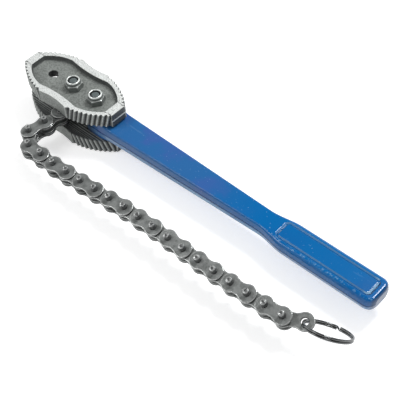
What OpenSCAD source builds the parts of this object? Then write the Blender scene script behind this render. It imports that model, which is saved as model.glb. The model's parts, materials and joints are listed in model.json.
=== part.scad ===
// Chain pipe wrench: two reversible toothed jaws bolted on a forged handle, and a pin chain
// that starts on the front bolt and ends in a split ring.
// X runs along the handle away from the jaws and Z runs along the bolts.
// The origin is on the front bolt's axis, in the plane of the lower jaw's bearing rim.

/* [Jaws] */
// Thickness of each jaw plate
jaw_t = 15; // [13:0.5:20]
// Clear gap between the two jaw plates
jaw_gap = 22; // [19:0.5:25]
// Half length of a jaw plate
jaw_half_l = 66; // [62:1:80]
// Half width of a jaw plate at its straight ends
jaw_end_y = 9.4; // [8:0.2:13]
// Saddle corner's distance from the plate's cross axis
saddle_x = 19.5; // [16:0.5:22]
// Saddle corner's distance from the plate's long axis
saddle_y = 31; // [29:0.5:36]
// Rise of each toothed arc above its chord
arc_rise = 3; // [1:0.5:5]
// Dip of each smooth saddle below its chord
saddle_dip = 2.3; // [1:0.1:3]
// Grooves cut along each toothed arc
groove_count = 10; // [7:1:12]
// Depth of the grooves between the teeth
groove_depth = 1.8; // [1:0.1:2.4]
// Slant of the teeth across the plate
groove_slant = 15; // [0:1:22]
// Width of the raised rim at the saddles
rim_w = 8; // [6:0.5:9]
// Width of the raised rim at the plate's ends
rim_end_w = 10.5; // [8:0.5:12]
// Half width of the recessed panel at its ends
panel_end_y = 7.6; // [6:0.2:9]
// Panel's saddle corner, distance from the cross axis
panel_saddle_x = 26; // [22:0.5:30]
// Depth of the recessed panel below the rim
recess = 6; // [5.7:0.1:7]
// Width of the notch in each outer bolt hole
notch_w = 3.4; // [2:0.2:5]
// Reach of that notch past the hole's wall
notch_reach = 1.6; // [1:0.2:2.4]

/* [Bolts] */
// Diameter of the jaw bolts
bolt_d = 10; // [8:0.5:11]
// Distance from the front bolt to the rear bolt
bolt_pitch = 33; // [31:0.5:37]
// Width across flats of bolt heads and nuts
hex_af = 17; // [16:0.5:18]
// Height of the low bolt heads
head_h = 5.2; // [4:0.1:5.6]
// Height of a nut's hexagon
nut_h = 7; // [6:0.1:9]
// Height of a nut's round locking collar
collar_h = 3.5; // [2.5:0.1:5]
// Outer diameter of a nut's locking collar
collar_d = 14.6; // [13.6:0.1:15.4]
// Wall of a nut's locking collar
collar_wall = 1.1; // [0.8:0.1:1.2]
// Depth of a bolt's end below the collar's top
bolt_end_drop = 0.9; // [0.4:0.1:2]
// Outer diameter of the spacers beside the anchor link
spacer_d = 17; // [14:0.5:19]

/* [Handle] */
// Distance from the front bolt to the handle's end
handle_l = 387; // [340:1:440]
// Half width of the head beside the rear bolt
head_half_w = 16.4; // [15:0.2:19]
// Half width of the bar at its waist
waist_half_w = 11; // [9:0.2:14]
// Half width of the grip
grip_half_w = 16.4; // [14:0.2:20]
// Thickness of the bar behind the jaws
bar_t = 17; // [14:0.5:19]
// Thickness of the grip
grip_t = 16; // [13:0.5:18]
// Length of the grip from the middle of its flare
grip_l = 116; // [100:1:140]
// Length of the flare between bar and grip
flare_l = 34; // [24:1:50]
// Radius of the grip's end corners in plan
end_r = 9; // [6:0.5:13]
// Radius of the bar's long edges
edge_r = 4.5; // [2:0.1:5.5]
// Draft from the edges out to the forging's parting line
draft = 0.6; // [0.2:0.1:1.2]
// Half width of the head's front shoulder
shoulder_half_w = 8.6; // [8:0.1:10]
// Distance of that shoulder from the front bolt
shoulder_x = 15; // [13:0.5:18]
// Radius of the tongue's eye on the front bolt
tongue_r = 9.2; // [8:0.1:10]
// Half width of the tongue's neck
neck_half_w = 7.6; // [5:0.1:8]
// Length of the grooved grip panel
panel_l = 106; // [80:1:110]
// Half width of the grip panel
panel_half_w = 10.9; // [8:0.1:11.2]
// Distance from the handle's end to the panel
panel_end = 6.5; // [5:0.5:12]
// Width of the panel's groove
panel_groove_w = 3.2; // [2:0.1:4.5]
// Depth of the panel's groove
panel_groove_d = 1.2; // [0.6:0.1:2]
// Corner radius of the grip panel
panel_r = 5; // [4.6:0.1:7]

/* [Chain] */
// Pitch of the chain
pitch = 19.05; // [18.7:0.05:22]
// Pitch of the longer anchor link
anchor_pitch = 26.5; // [26:0.5:32]
// Height of a link plate at its eyes
plate_h = 17.6; // [16:0.1:18.3]
// Height of a link plate at its waist
waist_h = 12.9; // [11:0.1:15]
// Thickness of a link plate
plate_t = 2.2; // [2:0.1:3]
// Gap between the two plates of an inner link
inner_gap = 3.8; // [3.4:0.1:6]
// Play between the inner and outer plates, each side
side_play = 0.28; // [0.25:0.01:0.35]
// Diameter of the chain pins
pin_d = 6; // [5:0.1:6.6]
// Length of the long pins that catch on the jaws
pin_l = 26; // [25:0.5:32]
// Outer diameter of the bushes
bush_d = 8.6; // [8:0.1:10]
// Thickness of the end tab
tab_t = 3; // [2.4:0.1:3.2]
// Sideways tilt gained at each hinge of the chain, inside the hinges' play
hinge_tilt = 1.35; // [0:0.05:1.4]
// Greatest sideways tilt of the chain's far end
chain_tilt = 17; // [0:1:18]
// Diameter of the ring hole in the end tab
tab_hole_d = 7.6; // [7.4:0.1:10]

/* [Ring] */
// Outer diameter of the split ring
ring_d = 46; // [40:1:60]
// Diameter of the ring's wire
wire_d = 2.1; // [1.6:0.1:2.2]
// Tilt of the ring's plane out of the end tab's plane
ring_tilt = 60; // [55:1:90]
// Turn of the ring sideways from the end tab's direction
ring_yaw = -13; // [-30:1:30]
// Distance of the wire from the hole's middle, towards the chain
ring_slack = 0.6; // [0:0.1:0.8]
// Arc of each of the ring's two turns
turn_arc = 352; // [300:1:356]

/* [Fits] */
// Radial play of a turning pin or eye
run_play = 0.14; // [0.12:0.01:0.18]
// Radial play of a pressed pin or bush
press_play = 0.02; // [0.01:0.01:0.04]
// Radial play of a bolt in its hole
bolt_play = 0.1; // [0.05:0.05:0.3]

/* [Hidden] */
$fn = 48;
eps = 0.5;
stack = 2 * jaw_t + jaw_gap;
mid_z = stack / 2;
bolt_hole_r = bolt_d / 2 + bolt_play;
hex_r = hex_af / sqrt(3);
nut_z = stack - recess;
nut_top = nut_z + nut_h + collar_h;
bolt_top = nut_top - bolt_end_drop;
pin_r = pin_d / 2;
bush_r = bush_d / 2;
eye_r = plate_h / 2;
inner_w = inner_gap + 2 * plate_t;
outer_gap = inner_w + 2 * side_play;
outer_w = outer_gap + 2 * plate_t;
short_pin_l = outer_w + 1.2;
pin_chamfer = pin_d / 10;
tongue_t = outer_gap - 2 * side_play;
spacer_h = (jaw_gap - outer_w) / 2 - side_play;
panel_y = saddle_y - rim_w;
grip_x = handle_l - grip_l;
ring_r = (ring_d - wire_d) / 2;
turn_step = 0.9 * wire_d;
bevel_h = hex_af / 14;

// Heading of each link at rest in degrees from +X, in the tilted plane of that link:
// the anchor link, links 1 to 20, the end tab
heading = [-84, -94, -102, -42, -1, -1, 3, 3, 3, 4, 4, 1, 1, -1, -1, -1, 0, 0, 2, 2, 3, 25];
last = len(heading) - 1;
links = [1 : last - 1];

function two_digits(k) = k < 10 ? str("0", k) : str(k);
function is_inner(k) = k % 2 == 1;
function plates_name(k) = str("link_", two_digits(k), "_plates");
function pins_name(k) = str("link_", two_digits(k), is_inner(k) ? "_bushes" : "_pins");

// Plane geometry shared by several pieces
function link_pitch(k) = k == 0 ? anchor_pitch : pitch;
function tilt(k) = min(hinge_tilt * k, chain_tilt);
function step(k) = link_pitch(k) * [
    cos(heading[k]), sin(heading[k]) * cos(tilt(k)), sin(heading[k]) * sin(tilt(k))];
function joint_at(k) = k == 0 ? [0, 0, mid_z] : joint_at(k - 1) + step(k - 1);
function smooth(t) = let (u = min(max(t, 0), 1)) u * u * (3 - 2 * u);
function blend(a, b, x0, x1, x) = a + (b - a) * smooth((x - x0) / (x1 - x0));
function flip(points) = [for (i = [len(points) - 1 : -1 : 0]) points[i]];
function mirror_x(points) = flip([for (p = points) [-p[0], p[1]]]);
function mirror_y(points) = flip([for (p = points) [p[0], -p[1]]]);

// Arc from a to b that bulges to the left of the line by the given rise; a negative rise dips
function bulge(a, b, rise, n) =
    let (d = b - a, c = norm(d), u = d / c, left = [-u[1], u[0]])
    let (r = (c * c / 4 + rise * rise) / (2 * rise), half = asin(c / 2 / r))
    [for (i = [0 : n])
        let (t = -half + 2 * half * i / n)
        a + u * (c / 2 + r * sin(t)) + left * (r * cos(t) - r + rise)];

// Quarter of a jaw outline, from the straight end round to the saddle's middle
function jaw_quarter(l, end_y, sx, sy) = concat(
    flip(bulge([sx, sy], [l, end_y], arc_rise, 10)),
    [for (p = bulge([sx, sy], [-sx, sy], saddle_dip, 12)) if (p[0] >= 0 && p[0] < sx - 0.01) p]
);
function jaw_outline(l, end_y, sx, sy) =
    let (q = jaw_quarter(l, end_y, sx, sy))
    let (top = concat(q, mirror_x([for (p = q) if (p[0] > 0.01) p])))
    concat(top, mirror_y(top));

// Rounded rectangle with corners of radius r
function rounded(x0, x1, half_w, r) = [
    for (c = [[x1 - r, half_w - r, 0], [x0 + r, half_w - r, 90],
              [x0 + r, r - half_w, 180], [x1 - r, r - half_w, 270]])
    for (i = [0 : 6]) [c[0] + r * cos(c[2] + 15 * i), c[1] + r * sin(c[2] + 15 * i)]];

// Waisted outline of a link plate between eyes at x = 0 and x = p
function waist_r(p) = (p * p / 4 + waist_h * waist_h / 4 - eye_r * eye_r) / (plate_h - waist_h);
function link_points(p) =
    let (w = waist_r(p), cy = waist_h / 2 + w, turn = atan2(cy, p / 2))
    let (eye = [for (i = [0 : 18]) let (t = turn + (360 - 2 * turn) * i / 18) eye_r * [cos(t), sin(t)]])
    let (side = [for (i = [1 : 7]) let (t = -180 + turn + (180 - 2 * turn) * i / 8)
        [p / 2 + w * cos(t), cy + w * sin(t)]])
    concat(eye, mirror_y(flip(side)), [for (q = flip(eye)) [p - q[0], q[1]]], flip(side));

// Section of the forged handle: half width w, half thickness h and edge radius r, as [y, z] points
function section(w, h, r) =
    let (edge = [for (a = [90 : -22.5 : 0]) [w - draft - r + r * cos(a), h - r + r * sin(a)]])
    let (side = concat(edge, [[w, 0]], mirror_y(edge)))
    concat(side, mirror_x(side));

// Handle sizes along X
bar_x = jaw_half_l - 2;
head_x = bolt_pitch + head_half_w;
end_edge = edge_r * 0.8;
function plan_w(x) =
    let (taper = head_half_w + (waist_half_w - head_half_w) * max(x - head_x, 0) / (grip_x - head_x))
    let (head = blend(shoulder_half_w, taper, shoulder_x, bolt_pitch + eps, x))
    let (all = blend(head, grip_half_w, grip_x - flare_l / 2, grip_x + flare_l / 2, x))
    let (over = max(x - (handle_l - end_r), 0))
    all - end_r + sqrt(end_r * end_r - over * over * 0.98);
function side_h(x) =
    let (bar = blend(jaw_gap, bar_t, head_x, bar_x, x))
    let (all = blend(bar, grip_t, bar_x, grip_x, x) / 2)
    let (over = max(x - (handle_l - end_edge), 0))
    all - end_edge + sqrt(end_edge * end_edge - over * over * 0.96);
function edge_at(x) = min(blend(1.2, edge_r, head_x, bar_x, x), plan_w(x) - draft - 0.4, side_h(x) - 0.4);

stations = concat(
    [for (i = [0 : 7]) shoulder_x + (head_x - shoulder_x) * i / 8],
    [for (i = [0 : 7]) head_x + (bar_x - head_x) * i / 8],
    [for (i = [0 : 5]) bar_x + (grip_x - flare_l / 2 - bar_x) * i / 6],
    [for (i = [0 : 13]) grip_x - flare_l / 2 + flare_l * i / 14],
    [for (i = [0 : 3]) grip_x + flare_l / 2 + (grip_l - flare_l / 2 - end_r) * i / 4],
    [for (i = [0 : 9]) handle_l - end_r * (1 - sin(10 * i))],
    [handle_l]
);

module forging() {
    rings = [for (x = stations) [for (p = section(plan_w(x), side_h(x), edge_at(x))) [x, p[0], p[1]]]];
    n = len(rings[0]);
    m = len(rings);
    walls = [for (j = [0 : m - 2]) for (i = [0 : n - 1])
        let (a = j * n + i, b = j * n + (i + 1) % n)
        each [[a, b, a + n], [b, b + n, a + n]]];
    caps = [[for (i = [n - 1 : -1 : 0]) i], [for (i = [0 : n - 1]) (m - 1) * n + i]];
    polyhedron([for (r = rings) each r], concat(walls, caps), convexity = 6);
}

module tongue() {
    linear_extrude(tongue_t, center = true) {
        circle(tongue_r);
        translate([0, -neck_half_w])
            square([shoulder_x + eps, 2 * neck_half_w]);
    }
}

module grip_groove() {
    x1 = handle_l - panel_end;
    linear_extrude(grip_t)
        difference() {
            polygon(rounded(x1 - panel_l, x1, panel_half_w, panel_r));
            polygon(rounded(x1 - panel_l + panel_groove_w, x1 - panel_groove_w,
                panel_half_w - panel_groove_w, panel_r - panel_groove_w + 1));
        }
}

module bolt_hole(x, h) {
    translate([x, 0, 0])
        cylinder(h = h, r = bolt_hole_r, center = true);
}

module handle() {
    color("royalblue")
        translate([0, 0, mid_z])
            difference() {
                union() {
                    forging();
                    tongue();
                }
                bolt_hole(0, stack);
                bolt_hole(bolt_pitch, stack);
                for (up = [0, 1])
                    mirror([0, 0, up])
                        translate([0, 0, grip_t / 2 - panel_groove_d])
                            grip_groove();
            }
}

// One slanted V groove whose mouth lies at the origin and whose outward normal is +X
module tooth_groove(mouth) {
    rotate([groove_slant, 0, 0])
        linear_extrude(2 * jaw_t, center = true)
            polygon([[-groove_depth, 0], [groove_depth, mouth], [groove_depth, -mouth]]);
}

// Grooves of one toothed arc, in a plate that stands on z = 0
module arc_grooves() {
    a = [saddle_x, saddle_y];
    b = [jaw_half_l, jaw_end_y];
    marks = bulge(b, a, -arc_rise, 2 * groove_count);
    spacing = norm(b - a) / groove_count;
    for (i = [1 : 2 : 2 * groove_count - 1]) {
        run = marks[i + 1] - marks[i - 1];
        translate([marks[i][0], marks[i][1], jaw_t / 2])
            rotate([0, 0, atan2(-run[0], run[1])])
                tooth_groove(spacing * 0.95);
    }
}

// A jaw plate standing on z = 0 with its recessed panel on top
module jaw() {
    difference() {
        linear_extrude(jaw_t)
            polygon(jaw_outline(jaw_half_l, jaw_end_y, saddle_x, saddle_y));
        translate([0, 0, jaw_t - recess])
            linear_extrude(recess + eps)
                polygon(jaw_outline(jaw_half_l - rim_end_w, panel_end_y, panel_saddle_x, panel_y));
        for (x = [-bolt_pitch, 0, bolt_pitch])
            bolt_hole(x, 3 * jaw_t);
        for (side = [-1, 1])
            translate([side * bolt_pitch - side * (bolt_hole_r + notch_reach) / 2, 0, 0])
                cube([bolt_hole_r + notch_reach, notch_w, 3 * jaw_t], center = true);
        for (mx = [0, 1], my = [0, 1])
            mirror([mx, 0, 0])
                mirror([0, my, 0])
                    arc_grooves();
    }
}

module upper_jaw() {
    color("dimgray")
        translate([0, 0, jaw_t + jaw_gap])
            jaw();
}

module lower_jaw() {
    color("dimgray")
        translate([0, 0, jaw_t])
            rotate([180, 0, 0])
                jaw();
}

// Hexagon of height h whose corners are bevelled at the top
module bevelled_hex(h) {
    intersection() {
        cylinder(h = h, r = hex_r, $fn = 6);
        rotate_extrude()
            polygon([[0, 0], [hex_r, 0], [hex_r, h - bevel_h / 2], [hex_r - bevel_h, h], [0, h]]);
    }
}

module bolt(x) {
    color("silver")
        translate([x, 0, recess]) {
            rotate([180, 0, 0])
                bevelled_hex(head_h);
            cylinder(h = bolt_top - recess, d = bolt_d);
        }
}

module front_bolt() {
    bolt(0);
}

module rear_bolt() {
    bolt(bolt_pitch);
}

// Locking nut: a bevelled hexagon under a round collar that holds a soft insert
module nut(x, turn) {
    color("silver")
        translate([x, 0, nut_z])
            rotate([0, 0, turn])
                difference() {
                    union() {
                        bevelled_hex(nut_h);
                        cylinder(h = nut_h + collar_h, d = collar_d);
                    }
                    cylinder(h = 3 * nut_h, r = bolt_d / 2 + press_play, center = true);
                    translate([0, 0, nut_h])
                        cylinder(h = nut_h, r = collar_d / 2 - collar_wall);
                }
}

module front_nut() {
    nut(0, 12);
}

module rear_nut() {
    nut(bolt_pitch, 25);
}

module nut_inserts() {
    color("whitesmoke")
        for (x = [0, bolt_pitch])
            translate([x, 0, nut_z + nut_h])
                difference() {
                    cylinder(h = collar_h - bolt_end_drop, r = collar_d / 2 - collar_wall - press_play);
                    cylinder(h = 3 * collar_h, r = bolt_d / 2 + press_play, center = true);
                }
}

module anchor_spacers() {
    color("slategray")
        for (up = [0, 1])
            translate([0, 0, mid_z])
                mirror([0, 0, up])
                    translate([0, 0, outer_w / 2 + side_play])
                        difference() {
                            cylinder(h = spacer_h, d = spacer_d);
                            cylinder(h = 3 * spacer_h, r = bolt_d / 2 + press_play, center = true);
                        }
}

// Moves to the start of link k, with x along the link and z along its pins
module at_link(k) {
    translate(joint_at(k))
        rotate([tilt(k), 0, 0])
            rotate([0, 0, heading[k]])
                children();
}

module plate(p, t, hole_a, hole_b) {
    linear_extrude(t)
        difference() {
            polygon(link_points(p));
            circle(hole_a);
            translate([p, 0])
                circle(hole_b);
        }
}

module plate_pair(p, gap, hole_a, hole_b) {
    for (up = [0, 1])
        mirror([0, 0, up])
            translate([0, 0, gap / 2])
                plate(p, plate_t, hole_a, hole_b);
}

// Pin centred on the origin, bevelled at both ends
module pin(l) {
    rotate_extrude()
        polygon([
            [0, -l / 2], [pin_r - pin_chamfer, -l / 2], [pin_r, -l / 2 + pin_chamfer],
            [pin_r, l / 2 - pin_chamfer], [pin_r - pin_chamfer, l / 2], [0, l / 2]
        ]);
}

module bush() {
    difference() {
        cylinder(h = inner_w, r = bush_r, center = true);
        cylinder(h = 2 * inner_w, r = pin_r + run_play, center = true);
    }
}

module anchor_plates() {
    color("gray")
        at_link(0)
            plate_pair(anchor_pitch, outer_gap, bolt_d / 2 + run_play, pin_r + press_play);
}

module anchor_pin() {
    color("silver")
        at_link(0)
            translate([anchor_pitch, 0, 0])
                pin(short_pin_l);
}

module link_plates(k) {
    color("gray")
        at_link(k)
            if (is_inner(k))
                plate_pair(pitch, inner_gap, bush_r + press_play, bush_r + press_play);
            else
                plate_pair(pitch, outer_gap, pin_r + press_play, pin_r + press_play);
}

module link_pins(k) {
    color("silver")
        at_link(k)
            for (x = [0, pitch])
                translate([x, 0, 0])
                    if (is_inner(k))
                        bush();
                    else
                        pin(pin_l);
}

module end_tab() {
    color("gray")
        at_link(last)
            translate([0, 0, -tab_t / 2])
                plate(pitch, tab_t, bush_r + press_play, tab_hole_d / 2);
}

module end_bush() {
    color("silver")
        at_link(last)
            bush();
}

// Split ring: two stacked turns of one wire, whose ends lie opposite each other
module end_ring() {
    color("silver")
        at_link(last)
            translate([pitch, 0, 0])
                rotate([0, 0, ring_yaw])
                    rotate([-ring_tilt, 0, 0])
                        translate([ring_r - ring_slack, 0, 0])
                            for (turn = [0, 1])
                                translate([0, 0, (turn - 0.5) * turn_step])
                                    rotate([0, 0, 70 + 150 * turn])
                                        rotate_extrude(angle = turn_arc)
                                            translate([ring_r, 0])
                                                circle(d = wire_d);
}

handle();
upper_jaw();
lower_jaw();
front_bolt();
rear_bolt();
front_nut();
rear_nut();
nut_inserts();
anchor_spacers();
anchor_plates();
anchor_pin();
for (k = links) link_plates(k);
for (k = links) link_pins(k);
end_tab();
end_bush();
end_ring();
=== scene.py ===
"""Chain pipe wrench over its CAD frame: forged handle, toothed jaws, nuts, pin chain and split ring."""
import json
import math

import bmesh
import bpy
import numpy as np
from mathutils import Matrix, Vector
from mathutils.geometry import tessellate_polygon


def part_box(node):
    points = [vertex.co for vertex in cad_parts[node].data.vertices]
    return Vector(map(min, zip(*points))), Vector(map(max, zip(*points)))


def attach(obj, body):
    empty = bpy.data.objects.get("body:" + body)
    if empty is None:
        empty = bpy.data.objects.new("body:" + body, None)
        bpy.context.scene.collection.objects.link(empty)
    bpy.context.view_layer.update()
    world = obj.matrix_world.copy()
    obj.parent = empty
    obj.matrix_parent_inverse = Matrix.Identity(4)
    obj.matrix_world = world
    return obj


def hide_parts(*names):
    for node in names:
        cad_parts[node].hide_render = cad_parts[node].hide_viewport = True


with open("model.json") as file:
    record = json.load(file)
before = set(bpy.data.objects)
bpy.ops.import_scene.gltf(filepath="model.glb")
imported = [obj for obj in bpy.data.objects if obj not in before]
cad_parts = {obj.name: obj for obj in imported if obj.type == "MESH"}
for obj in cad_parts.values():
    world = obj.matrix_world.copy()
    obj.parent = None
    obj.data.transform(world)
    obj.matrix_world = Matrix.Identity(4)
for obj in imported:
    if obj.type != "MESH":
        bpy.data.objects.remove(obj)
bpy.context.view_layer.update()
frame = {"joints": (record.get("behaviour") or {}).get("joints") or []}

bl_info = {
    "name": "Chain pipe wrench",
    "version": (1, 0, 0),
    "blender": (4, 5, 0),
    "location": "3D View > Sidebar > Wrench",
    "description": "Builds the visible pieces of a chain pipe wrench over its CAD frame",
    "category": "Object",
}

MM = 0.001
UP = np.array([0.0, 0.0, 1.0])
RING_JOINT = "ring_swing"


def length(name, millimetres, about):
    return bpy.props.FloatProperty(name=name, description=about, default=millimetres * MM, min=0.0,
                                   precision=5, unit="LENGTH")


def angle(name, degrees, about):
    return bpy.props.FloatProperty(name=name, description=about, default=math.radians(degrees),
                                   subtype="ANGLE")


def count(name, number, about):
    return bpy.props.IntProperty(name=name, description=about, default=number, min=1)


def colour(name, rgb, about):
    return bpy.props.FloatVectorProperty(name=name, description=about, default=rgb, size=3, min=0.0, max=1.0,
                                         subtype="COLOR")


def power(name, value, about):
    return bpy.props.FloatProperty(name=name, description=about, default=value, min=0.0)


def point(name, millimetres, about):
    return bpy.props.FloatVectorProperty(name=name, description=about, size=3, unit="LENGTH",
                                         subtype="TRANSLATION", default=[value * MM for value in millimetres])


class HandleSizes(bpy.types.PropertyGroup):
    """Sizes of the forged handle."""
    head_half_w: length("Head half width", 16.4, "Half width beside the rear bolt")
    waist_half_w: length("Waist half width", 11.0, "Half width of the bar at its waist")
    grip_half_w: length("Grip half width", 16.4, "Half width of the grip")
    bar_t: length("Bar thickness", 17.0, "Thickness of the bar behind the jaws")
    grip_t: length("Grip thickness", 16.0, "Thickness of the grip")
    grip_l: length("Grip length", 116.0, "Grip length from the middle of its flare")
    flare_l: length("Flare length", 34.0, "Length of the flare between bar and grip")
    end_r: length("End radius", 9.0, "Radius of the end corners in plan")
    end_edge_r: length("End edge radius", 3.6, "Radius of the end's edges seen from the side")
    edge_r: length("Grip edge radius", 4.5, "Radius of the grip's long edges")
    bar_edge_r: length("Bar edge radius", 2.2, "Radius of the bar's long edges")
    head_edge_r: length("Head edge radius", 1.2, "Radius of the edges between the jaws")
    edge_room: length("Edge room", 0.4, "Least width left beside an edge radius")
    draft: length("Draft", 0.6, "Draft out to the parting line")
    flash: length("Flash", 0.18, "Height of the ground flash on the parting line")
    flash_band: length("Flash band", 0.5, "Half height of the band that rises to the flash")
    bar_lap: length("Bar lap", 2.0, "Reach of the bar's full thickness below the jaws' ends")
    shoulder_half_w: length("Shoulder half width", 8.6, "Half width of the front shoulder")
    shoulder_x: length("Shoulder place", 15.0, "Distance of the shoulder from the front bolt")
    shoulder_over: length("Shoulder reach", 0.5, "Reach of the shoulder's curve past the rear bolt")
    tongue_r: length("Tongue radius", 9.2, "Radius of the tongue's eye")
    neck_half_w: length("Neck half width", 7.6, "Half width of the tongue's neck")
    neck_lap: length("Neck lap", 0.5, "Lap of the tongue's neck in the shoulder")
    tongue_t: length("Tongue thickness", 8.2, "Thickness of the tongue")
    hole_r: length("Bolt hole radius", 5.1, "Radius of the bolt holes")
    panel_l: length("Panel length", 106.0, "Length of the grooved grip panel")
    panel_half_w: length("Panel half width", 10.9, "Half width of the grip panel")
    panel_end: length("Panel place", 6.5, "Distance from the handle's end to the panel")
    panel_r: length("Panel corner", 5.0, "Corner radius of the grip panel")
    groove_w: length("Groove width", 3.2, "Width of the panel's groove")
    groove_d: length("Groove depth", 1.2, "Depth of the panel's groove")


class JawSizes(bpy.types.PropertyGroup):
    """Sizes of a jaw plate."""
    end_y: length("End half width", 9.4, "Half width at the straight ends")
    saddle_x: length("Saddle corner X", 19.5, "Saddle corner's distance from the cross axis")
    saddle_y: length("Saddle corner Y", 31.0, "Saddle corner's distance from the long axis")
    arc_rise: length("Arc rise", 4.4, "Rise of a toothed arc above its chord")
    panel_rise: length("Panel rise", 3.0, "Rise of the recess's long edges above their chords")
    saddle_dip: length("Saddle dip", 2.3, "Dip of a smooth saddle below its chord")
    teeth: count("Grooves", 10, "Grooves along each toothed arc")
    groove_d: length("Groove depth", 1.8, "Depth of the grooves between the teeth")
    slant: angle("Tooth slant", 15.0, "Slant of the teeth across the plate")
    rim_w: length("Rim width", 8.0, "Rim width at the saddles")
    rim_end_w: length("Rim end width", 10.1, "Rim width at the plate's ends")
    rim_edge: length("Rim edge", 0.3, "Width of the dull line round the ground rim")
    panel_end_y: length("Panel end half width", 8.6, "Half width of the recess at its ends")
    panel_saddle_x: length("Panel corner X", 26.0, "Recess corner's distance from the cross axis")
    recess: length("Recess", 6.0, "Depth of the panel below the rim")
    corner_r: length("Recess corner", 0.8, "Softness of the recess corners")
    bevel: length("Edge bevel", 0.4, "Bevel of the plate's edges")
    wall_draft: length("Wall draft", 0.7, "Draft of the recess wall")
    fillet: length("Recess fillet", 1.1, "Fillet between the wall and the panel")
    flash: length("End flash", 0.35, "Height of the flash band on the plate's ends")
    flare: length("Groove flare", 0.5, "Extra depth of the grooves at the rim")
    flare_h: length("Flare height", 2.2, "Height of the flared groove ends")
    hole_r: length("Bolt hole radius", 5.1, "Radius of the bolt holes")
    hole_bevel: length("Hole bevel", 0.35, "Bevel of the bolt holes")
    notch_w: length("Notch width", 3.4, "Width of the notch in each outer hole")
    notch_reach: length("Notch reach", 1.6, "Reach of the notch past the hole's wall")


class FastenerSizes(bpy.types.PropertyGroup):
    """Sizes of the bolts, nuts and spacers."""
    bolt_r: length("Bolt radius", 5.0, "Radius of the bolt shanks")
    play: length("Play", 0.03, "Radial play of the close fits")
    seam: length("Seam", 0.02, "Play of an insert between nut and lip")
    hex_af: length("Across flats", 17.0, "Width across flats of heads and nuts")
    corner_room: length("Corner room", 0.1, "Radius past the hexagon's corners")
    front_turn: angle("Front turn", 12.0, "Turn of the front bolt's hexagons")
    rear_turn: angle("Rear turn", 25.0, "Turn of the rear bolt's hexagons")
    head_h: length("Head height", 5.2, "Height of the low bolt heads")
    nut_h: length("Nut height", 7.0, "Height of a nut's hexagon")
    crown_h: length("Crown height", 1.0, "Height of the rounded crown on a nut's hexagon")
    nut_foot: length("Nut foot", 0.7, "Height of the chamfer below a nut")
    head_foot: length("Head foot", 0.8, "Height of the chamfer on a bolt head")
    bore_bevel: length("Bore bevel", 0.5, "Bevel of a nut's bore")
    lip_t: length("Lip thickness", 1.3, "Thickness of the crimped lip")
    collar_r: length("Collar radius", 7.3, "Outer radius of the locking collar")
    lip_r: length("Lip radius", 5.4, "Inner radius of the crimped lip")
    insert_r: length("Insert radius", 6.15, "Outer radius of the soft insert")
    spacer_r: length("Spacer radius", 8.5, "Outer radius of the spacers")
    spacer_bevel: length("Spacer bevel", 0.4, "Bevel of the spacers")


class ChainSizes(bpy.types.PropertyGroup):
    """Sizes of the chain's pieces."""
    eye_r: length("Eye radius", 8.8, "Radius of a link plate's eyes")
    waist_h: length("Waist height", 12.9, "Height of a link plate at its waist")
    plate_t: length("Plate thickness", 2.2, "Thickness of a link plate")
    inner_gap: length("Inner gap", 3.8, "Gap between the plates of an inner link")
    side_play: length("Side play", 0.28, "Play between inner and outer plates")
    edge_r: length("Edge radius", 0.5, "Rounding of a link plate's edges")
    worn_w: length("Worn width", 0.7, "Width over which a worn edge runs out on the flat")
    bevel: length("Bevel", 0.3, "Bevel of the holes and bushes")
    pin_r: length("Pin radius", 3.0, "Radius of the chain pins")
    pin_l: length("Pin length", 26.0, "Length of the long pins")
    short_pin_over: length("Short pin", 0.6, "Reach of the anchor pin past its plates")
    bush_r: length("Bush radius", 4.3, "Outer radius of the bushes")
    play: length("Running play", 0.14, "Radial play of a turning pin")
    press: length("Press play", 0.02, "Radial play of a pressed pin")
    bolt_eye_r: length("Bolt eye radius", 5.14, "Radius of the anchor link's eye on the bolt")
    tab_t: length("Tab thickness", 3.0, "Thickness of the end tab")
    tab_hole_r: length("Tab hole radius", 3.8, "Radius of the ring hole in the end tab")
    dimple_r: length("Pin dimple", 1.5, "Radius of the dimple in a pin's end")


class RingSizes(bpy.types.PropertyGroup):
    """Sizes of the split ring."""
    ring_r: length("Ring radius", 21.95, "Radius of the wire's middle")
    wire_r: length("Wire radius", 1.05, "Radius of the wire")
    slack: length("Slack", 0.6, "Distance of the wire from the hole's middle")
    tilt: angle("Tilt", 60.0, "Tilt of the ring's plane out of the tab's plane")
    start: angle("Wire start", 90.0, "Place of the first wire end")
    jog: angle("Jog", 10.0, "Arc in which the wire climbs to its second turn")
    gap: angle("Gap", 1.0, "Arc between the jog and the second wire end")


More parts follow.
